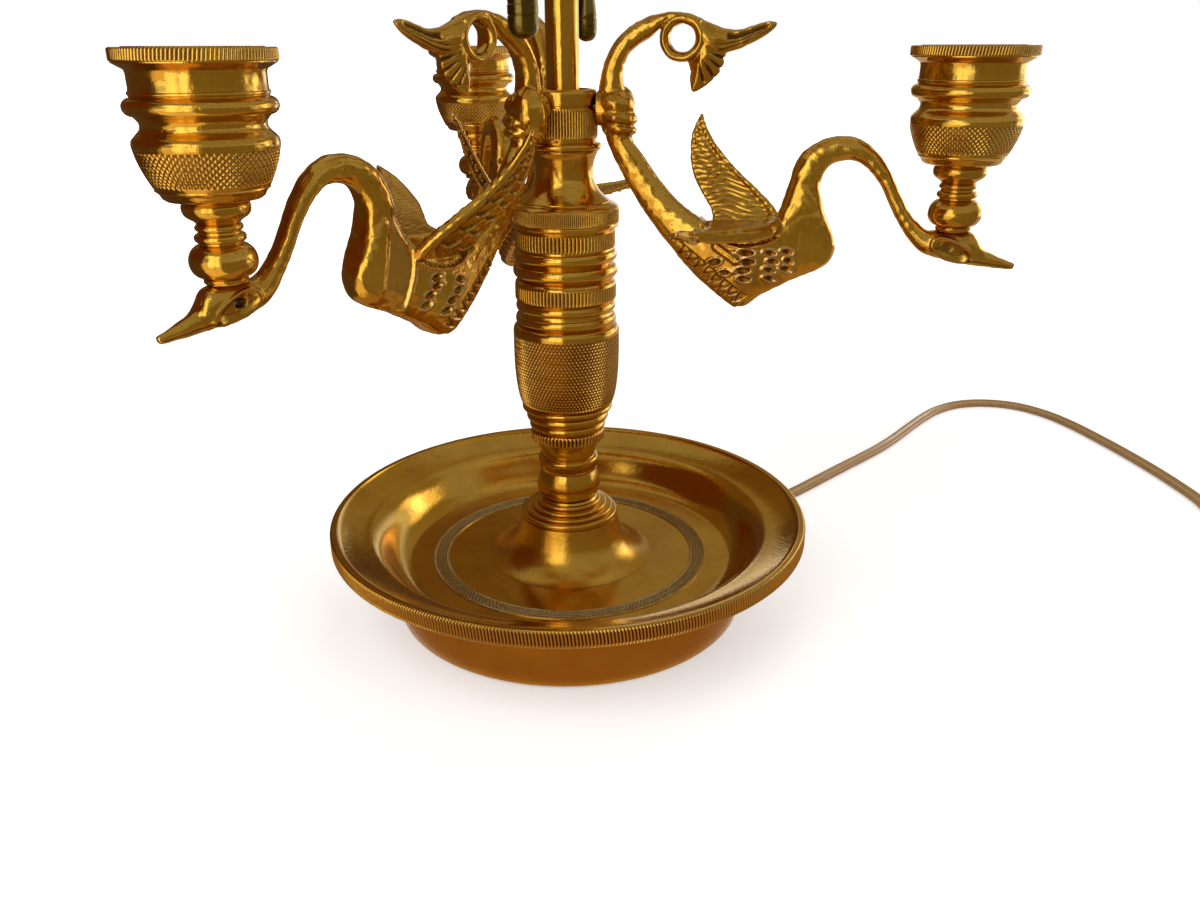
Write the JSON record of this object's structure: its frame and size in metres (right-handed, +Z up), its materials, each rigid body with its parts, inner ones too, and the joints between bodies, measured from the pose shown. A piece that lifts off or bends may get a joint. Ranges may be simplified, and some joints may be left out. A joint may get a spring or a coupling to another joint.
{
  "type": "bouillotte lamp",
  "caption": "Brass bouillotte table lamp: dish base, turned column, swan arms with candle cups, twin pull-chain sockets and a metal shade that slides on its rod.",
  "frame": {"origin": "on the table, on the lamp's axis, under the middle of the base", "axes": "+Z up along the column; the picture looks along +Y, with +X to the right"},
  "size_m": [0.6019, 0.4176, 0.6001],
  "materials": {
    "brass": "polished, lacquered, with worn patches",
    "bronze": "dark antique, satin",
    "steel": "zinc plated",
    "cast_iron": "as cast",
    "felt": "wool felt",
    "cord": "clear vinyl over copper strands",
    "plug": "moulded, translucent gold",
    "plug_brass": "bright",
    "porcelain": "glazed porcelain",
    "bulb_glass": "frosted",
    "tole": "satin enamel"
  },
  "bodies": {
    "stand": {"base_felt": "felt", "base_weight": "cast_iron", "base_washer": "steel", "base_nut": "brass", "base_drum": "brass", "dish": "brass", "dish_rim_band": "brass", "dish_floor_ring": "brass", "foot": "brass", "knop": "brass", "cove": "brass", "stem": "brass", "barrel": "brass", "lower_rings": "brass", "lower_band": "brass", "upper_rings": "brass", "upper_band": "brass", "collar": "brass", "neck": "brass", "arm_hub": "brass", "tie_pipe": "steel", "column_rod": "brass", "arm_left": "brass", "arm_right": "brass", "arm_rear": "brass", "arm_screws": "steel", "cup_left": "brass", "cup_right": "brass", "cup_rear": "brass", "cup_rim_bands": "brass", "cup_studs": "steel", "cord_bushing": "cord", "cord_lead": "cord", "cord_coil": "cord", "plug_body": "plug", "plug_blades": "plug_brass", "socket_cluster": "brass", "cluster_screw": "brass", "socket_cap_front": "brass", "socket_cap_rear": "brass", "socket_shell_front": "brass", "socket_shell_rear": "brass", "socket_core_front": "porcelain", "socket_core_rear": "porcelain", "finial": "brass"},
    "pull_front": {"pull_chain_front": "brass", "bell_pull_front": "bronze"},
    "pull_rear": {"pull_chain_rear": "brass", "bell_pull_rear": "bronze"},
    "bulb_front": {"bulb_base_front": "steel", "bulb_glass_front": "bulb_glass"},
    "bulb_rear": {"bulb_base_rear": "steel", "bulb_glass_rear": "bulb_glass"},
    "carrier": {"shade_carrier": "brass", "carrier_nut": "brass"},
    "shade": {"shade_shell": "tole", "shade_spider": "brass"},
    "key": {"thumb_key": "brass"}
  },
  "joints": [
    {"name": "pull_front_slide", "type": "slide", "parent": "stand", "child": "pull_front", "axis": [0, 0, -1], "range_m": [0, 0.008], "stiffness_N_per_m": 800, "springref_m": -0.002},
    {"name": "pull_rear_slide", "type": "slide", "parent": "stand", "child": "pull_rear", "axis": [0, 0, -1], "range_m": [0, 0.008], "stiffness_N_per_m": 800, "springref_m": -0.002},
    {"name": "bulb_front_turn", "type": "hinge", "parent": "stand", "child": "bulb_front", "pos_m": [-0.00536, -0.05675, 0.4], "axis": [0, 0, 1], "continuous": true},
    {"name": "bulb_rear_turn", "type": "hinge", "parent": "stand", "child": "bulb_rear", "pos_m": [0.00536, 0.05675, 0.4], "axis": [0, 0, 1], "continuous": true},
    {"name": "shade_slide", "type": "slide", "parent": "stand", "child": "carrier", "axis": [0, 0, 1], "range_m": [-0.015, 0.045]},
    {"name": "shade_turn", "type": "hinge", "parent": "carrier", "child": "shade", "pos_m": [0, 0, 0.49], "axis": [0, 0, 1], "continuous": true},
    {"name": "key_turn", "type": "hinge", "parent": "carrier", "child": "key", "pos_m": [0.02, 0, 0.5104], "axis": [1, 0, 0], "continuous": true}
  ]
}
